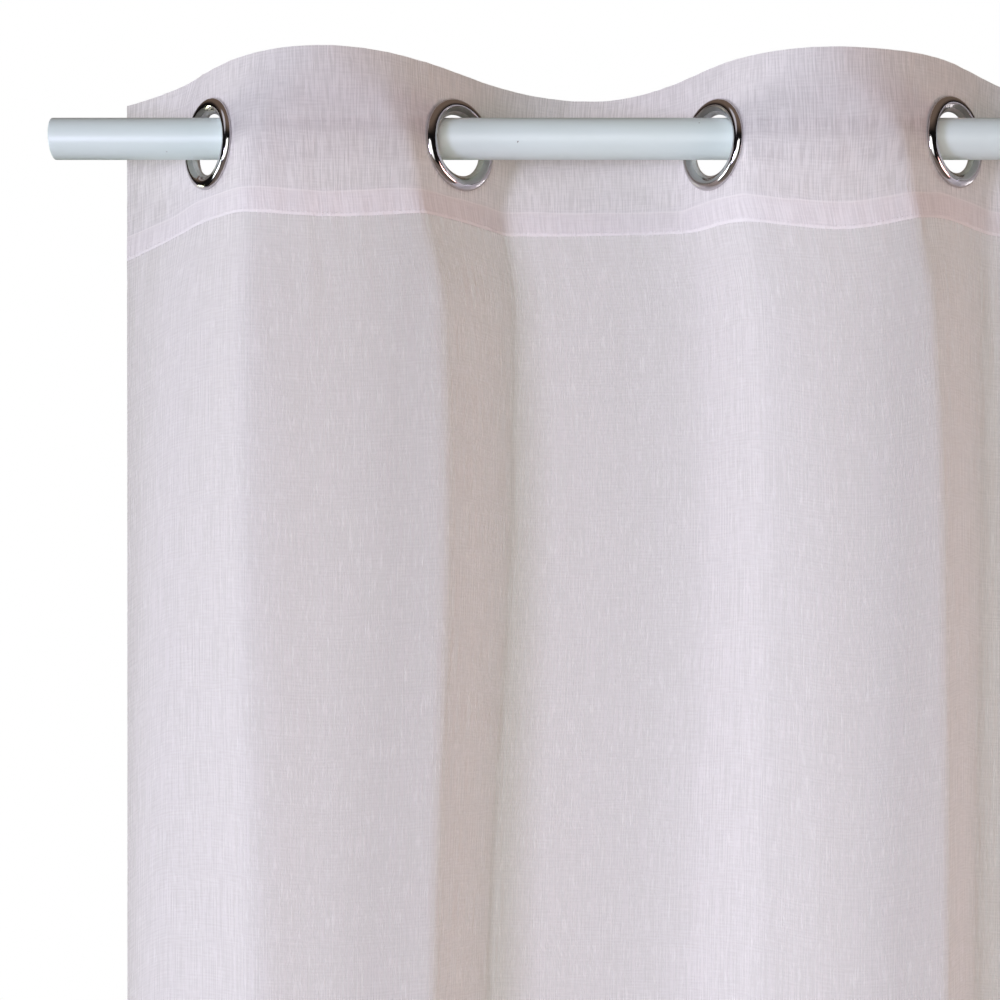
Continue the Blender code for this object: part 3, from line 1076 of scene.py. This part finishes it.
@dataclass
class StitchLine:
    """A line of small machine stitches that runs across the whole cloth, on both its sides."""

    shape: HangingShape
    relief: SoftRelief
    name: str
    slot: str
    finish: ThreadFinish
    fall: float
    thickness: float
    front_shift: float = 0.0
    stitch: float = 2.3
    gap: float = 0.7
    thread: float = 0.32

    def build(self) -> bpy.types.Object:
        """Makes the stitches.

        Returns:
            The new piece.
        """
        line = self.shape.row(self.fall)
        widths = self.shape.widths()
        bm = bmesh.new()
        place = 0.5 * self.gap * MM
        column = 0
        while place + self.stitch * MM < widths[-1]:
            middle = place + 0.5 * self.stitch * MM
            while widths[column + 1] < middle:
                column += 1
            share = (middle - widths[column]) / (widths[column + 1] - widths[column])
            point = line[column].lerp(line[column + 1], share)
            along = (line[column + 1] - line[column]).normalized()
            out = Vector((along.y, -along.x, 0.0)).normalized()
            shift = self.relief.shift(middle, self.fall, self.shape.heading_height, self.relief.free_radius)
            for side in Side:
                stand = (shift + self.front_shift + side.value * 0.5 * self.thickness) * MM
                turn = Matrix((along, out, along.cross(out))).transposed().to_4x4()
                half = (0.5 * self.stitch * MM, self.thread * MM, 0.5 * self.thread * MM, 1.0)
                size = Matrix.Diagonal(half)
                bmesh.ops.create_icosphere(
                    bm,
                    subdivisions=1,
                    radius=1.0,
                    matrix=Matrix.Translation(point + out * stand) @ turn @ size,
                )
            place += (self.stitch + self.gap) * MM
        return make_piece(self.name, bm, self.finish.build())


@dataclass
class EyeletRings:
    """The round eyelets, each a domed front half rolled over a back half."""

    finish: PolishedMetal
    barrel_finish: BarrelMetal
    slot: str = "eyelet_metal"
    steps: int = 96
    barrel_radius: float = 20.4

    def build(self) -> list:
        """Makes one ring in each hole of the heading.

        Returns:
            The new pieces.
        """
        materials = (self.finish.build(), self.barrel_finish.build())
        return [self.ring(index, materials) for index in range(len(EYELETS))]

    def ring(self, index: int, materials: tuple) -> bpy.types.Object:
        """One ring, spun from its section and put in place.

        Args:
            index: The eyelet.
            materials: Its finishes, outside and in the barrel.

        Returns:
            The new piece.
        """
        bm = bmesh.new()
        section = [bm.verts.new((point.radius * MM, 0.0, point.height * MM)) for point in EYELET_SECTION]
        edges = [bm.edges.new((section[k - 1], section[k])) for k in range(len(section))]
        bmesh.ops.spin(
            bm,
            geom=section + edges,
            cent=(0.0, 0.0, 0.0),
            axis=(0.0, 0.0, 1.0),
            angle=2.0 * math.pi,
            steps=self.steps,
            use_merge=True,
        )
        bmesh.ops.recalc_face_normals(bm, faces=bm.faces)
        for face in bm.faces:
            # The barrel's faces take the finish that is painted lighter for the reflection they show.
            face.material_index = int(face.calc_center_median().xy.length < self.barrel_radius * MM)
        bmesh.ops.transform(bm, matrix=eyelet_frame(index), verts=bm.verts)
        piece = make_piece(f"eyelet_ring_{index + 1}", bm, materials[0])
        piece.data.materials.append(materials[1])
        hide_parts(f"eyelet_{index + 1}")
        return piece


@dataclass
class CurtainRod:
    """The plain round rod, with its end edges softly broken."""

    finish: SatinEnamel
    slot: str = "rod_enamel"
    sides: int = 96
    end_round: float = 0.8
    sharp_edge: float = 35.0

    def build(self) -> bpy.types.Object:
        """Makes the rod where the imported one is.

        Returns:
            The new piece.
        """
        low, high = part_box("rod")
        radius = 0.5 * (high.z - low.z)
        bm = bmesh.new()
        bmesh.ops.create_cone(
            bm,
            segments=self.sides,
            cap_ends=True,
            radius1=radius,
            radius2=radius,
            depth=high.x - low.x,
            matrix=Matrix.Rotation(math.pi / 2.0, 4, "Y"),
        )
        rims = [edge for edge in bm.edges if abs(edge.verts[0].co.x - edge.verts[1].co.x) < MM]
        bmesh.ops.bevel(
            bm,
            geom=rims,
            offset=self.end_round * MM,
            segments=4,
            affect="EDGES",
            profile=0.5,
            material=-1,
        )
        piece = make_piece("curtain_rod", bm, self.finish.build())
        piece.data.set_sharp_from_angle(angle=math.radians(self.sharp_edge))
        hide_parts("rod")
        return piece


@dataclass
class Studio:
    """A plain room: white behind, cool light from the left and the front, warm light from the right."""

    floor_size: float = 7.0
    floor_gap: float = 0.012
    floor_colour: tuple = (0.82, 0.81, 0.80, 1.0)
    floor_lift: float = 0.6
    overhead: tuple = (0.20, 0.145, 0.11, 1.0)
    overhead_rise: tuple = (0.3, 0.62)
    eye_level: tuple = (0.008, 0.007, 0.007, 1.0)
    pane: tuple = (0.75, 0.74, 0.80, 1.0)
    pane_direction: tuple = (-0.72, -0.42, 0.55)
    pane_cosines: tuple = (0.955, 0.975)
    aim: tuple = (-0.1, 0.0, -0.5)
    spread: float = 60.0

    def build(self) -> None:
        """Makes the floor, the surroundings and the lights."""
        low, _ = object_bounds()
        self.floor(low[2] - self.floor_gap)
        self.world()
        for light in LIGHTS:
            self.area(light)
        view = bpy.context.scene.view_settings
        view.view_transform = "Standard"
        view.look = "None"

    def floor(self, height: float) -> None:
        """A plain pale floor just below the curtain's foot, shown as bright as the white surround needs.

        Args:
            height: Its height in metres.
        """
        bm = bmesh.new()
        bmesh.ops.create_grid(
            bm,
            x_segments=1,
            y_segments=1,
            size=0.5 * self.floor_size,
            matrix=Matrix.Translation((0.0, 0.0, height)),
        )
        mesh = bpy.data.meshes.new("floor")
        bm.to_mesh(mesh)
        bm.free()
        material = bpy.data.materials.new("pale_floor")
        material.use_nodes = True
        tree = NodeSheet(material.node_tree)
        shader = material.node_tree.nodes["Principled BSDF"]
        shader.inputs["Base Color"].default_value = self.floor_colour
        shader.inputs["Roughness"].default_value = 0.8
        shader.inputs["Emission Color"].default_value = self.floor_colour
        shown = tree.add("ShaderNodeLightPath").outputs["Is Camera Ray"]
        tree.join(tree.multiply(shown, self.floor_lift), shader.inputs["Emission Strength"])
        mesh.materials.append(material)
        floor = bpy.data.objects.new("floor", mesh)
        bpy.context.scene.collection.objects.link(floor)
        floor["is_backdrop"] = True

    def world(self) -> None:
        """White to the camera, and a dimmer surround with one pale pane that lights the part."""
        world = bpy.data.worlds.new("studio")
        world.use_nodes = True
        tree = NodeSheet(world.node_tree)
        tree.clear()
        seen = tree.add("ShaderNodeBackground")
        seen.inputs["Color"].default_value = (1.0, 1.0, 1.0, 1.0)
        around = tree.add("ShaderNodeBackground")
        parts = tree.add("ShaderNodeSeparateXYZ")
        direction = tree.add("ShaderNodeTexCoord").outputs["Generated"]
        tree.join(direction, parts.inputs["Vector"])
        rise = tree.span(parts.outputs["Z"], *self.overhead_rise)
        sky = tree.mix_colour(rise, self.eye_level, self.overhead)
        facing = tree.add("ShaderNodeVectorMath")
        facing.operation = "DOT_PRODUCT"
        tree.join(direction, facing.inputs[0])
        facing.inputs[1].default_value = Vector(self.pane_direction).normalized()
        pane = tree.span(facing.outputs["Value"], *self.pane_cosines)
        tree.join(tree.mix_colour(pane, sky, self.pane), around.inputs["Color"])
        path = tree.add("ShaderNodeLightPath")
        shown = tree.mix_shader(
            path.outputs["Is Camera Ray"], around.outputs["Background"], seen.outputs["Background"]
        )
        tree.join(shown, tree.add("ShaderNodeOutputWorld").inputs["Surface"])
        bpy.context.scene.world = world

    def area(self, light: SoftLight) -> None:
        """One soft light, turned to the curtain's upper part.

        Args:
            light: Where it stands and how it shines.
        """
        data = bpy.data.lights.new(light.name, "AREA")
        data.shape = "RECTANGLE"
        data.size, data.size_y = light.size
        data.energy = light.power
        data.color = light.colour
        data.spread = math.radians(self.spread)
        aim = Vector(self.aim)
        turn = math.radians(light.azimuth)
        lamp = bpy.data.objects.new(light.name, data)
        lamp.location = aim + Vector((math.sin(turn), -math.cos(turn), 0.0)) * light.distance
        lamp.location.z = light.height
        lamp.rotation_euler = (aim - lamp.location).to_track_quat("-Z", "Y").to_euler()
        bpy.context.scene.collection.objects.link(lamp)


@dataclass
class PhotoCamera:
    """The camera of the reference view, level and square on to the rod."""

    place: tuple = (-0.235, -1.3, -0.4106)
    sensor: float = 36.0
    lens: float = 75.35
    shift: tuple = (-0.2, 0.3)

    def build(self) -> None:
        """Makes the camera and gives it to the scene."""
        data = bpy.data.cameras.new("photo_camera")
        data.sensor_width = self.sensor
        data.lens = self.lens
        data.shift_x, data.shift_y = self.shift
        camera = bpy.data.objects.new("photo_camera", data)
        camera.location = self.place
        camera.rotation_euler = (math.pi / 2.0, 0.0, 0.0)
        bpy.context.scene.collection.objects.link(camera)
        bpy.context.scene.camera = camera


@dataclass
class VoileCurtain:
    """The whole curtain on its rod."""

    flat_width: float = 1.45
    heading_rows: int = 44
    panel_rows: int = 112
    row_spread: float = 1.55
    heading_thickness: float = 1.1
    panel_thickness: float = 0.45
    hem_height: float = 40.0
    allowance: float = 15.5
    seam_inset: float = 2.2
    hem_inset: float = 2.0
    overlap: float = 0.5

    def build(self, shape: HangingShape) -> None:
        """Makes every piece.

        Args:
            shape: The hanging shape that all the cloth follows.
        """
        relief = SoftRelief()
        rings = EyeletRings(PolishedMetal(), BarrelMetal()).build()
        report(*rings)
        thread = ThreadFinish()
        seam_fall = shape.heading_height - self.seam_inset
        seam = StitchLine(
            shape, relief, "seam_stitches", "doubled_voile", thread, seam_fall, self.heading_thickness
        ).build()
        hem_fall = shape.curtain_length - self.hem_height + self.hem_inset
        hem = StitchLine(
            shape, relief, "hem_stitches", "voile", thread, hem_fall, self.panel_thickness, self.panel_shift()
        ).build()
        report(seam, hem)
        heading = self.heading(shape, relief)
        panel = self.panel(shape, relief)
        report(heading, panel, CurtainRod(SatinEnamel()).build())

    def heading(self, shape: HangingShape, relief: SoftRelief) -> bpy.types.Object:
        """The doubled strip that holds the eyelets.

        Args:
            shape: The hanging shape.
            relief: The cloth's small unevenness.

        Returns:
            The new piece.
        """
        finish = VoileFinish(
            name="doubled_slub_voile",
            colour=(0.80, 0.775, 0.79, 1.0),
            shade=(0.67, 0.645, 0.66, 1.0),
            slub_colour=(0.90, 0.87, 0.89, 1.0),
            band_colour=(0.82, 0.785, 0.795, 1.0),
            band_shade=(0.72, 0.685, 0.695, 1.0),
            sheer=0.05,
            glow=0.30,
            slub_bump=0.85,
            band_start=(shape.heading_height - self.allowance) * MM,
            foot=shape.heading_height * MM,
            streak_rate=62.0,
            # Painted shade along the crease, 44.5 mm below the top edge.
            painted_crease_shade_fall=44.5 * MM,
        )
        falls = [shape.heading_height * k / self.heading_rows for k in range(self.heading_rows + 1)]
        return ClothSheet(
            shape, relief, "voile_heading", "heading", "doubled_voile", finish, falls, self.heading_thickness
        ).build()

    def panel(self, shape: HangingShape, relief: SoftRelief) -> bpy.types.Object:
        """The single layer below the heading, with its foot hem.

        Args:
            shape: The hanging shape.
            relief: The cloth's small unevenness.

        Returns:
            The new piece.
        """
        finish = VoileFinish(
            name="single_slub_voile",
            colour=(0.74, 0.72, 0.735, 1.0),
            shade=(0.645, 0.625, 0.64, 1.0),
            slub_colour=(0.84, 0.82, 0.84, 1.0),
            band_colour=(0.80, 0.77, 0.785, 1.0),
            band_shade=(0.70, 0.67, 0.685, 1.0),
            sheer=0.11,
            glow=0.36,
            slub_bump=0.5,
            band_start=(shape.curtain_length - self.hem_height) * MM,
            foot=shape.curtain_length * MM,
        )
        start = shape.heading_height - self.overlap
        drop = shape.curtain_length - start
        falls = [start + drop * (k / self.panel_rows) ** self.row_spread for k in range(self.panel_rows + 1)]
        thickness, shift = self.panel_thickness, self.panel_shift()
        return ClothSheet(
            shape, relief, "voile_panel", "panel", "voile", finish, falls, thickness, shift
        ).build()

    def panel_shift(self) -> float:
        """How far the single layer stands towards the room, so that its front is all but flush above."""
        return 0.5 * (self.heading_thickness - self.panel_thickness) - 0.05


def report(*pieces: bpy.types.Object) -> None:
    """Logs each piece with its number of faces."""
    for piece in pieces:
        LOG.info("%s: %d faces", piece.name, len(piece.data.polygons))


def main() -> None:
    """Builds the camera, the curtain and the studio."""
    logging.basicConfig(level=logging.INFO, format="%(name)s: %(message)s")
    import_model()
    PhotoCamera().build()
    VoileCurtain().build(HangingShape())
    Studio().build()


if __name__ == "__main__":
    main()
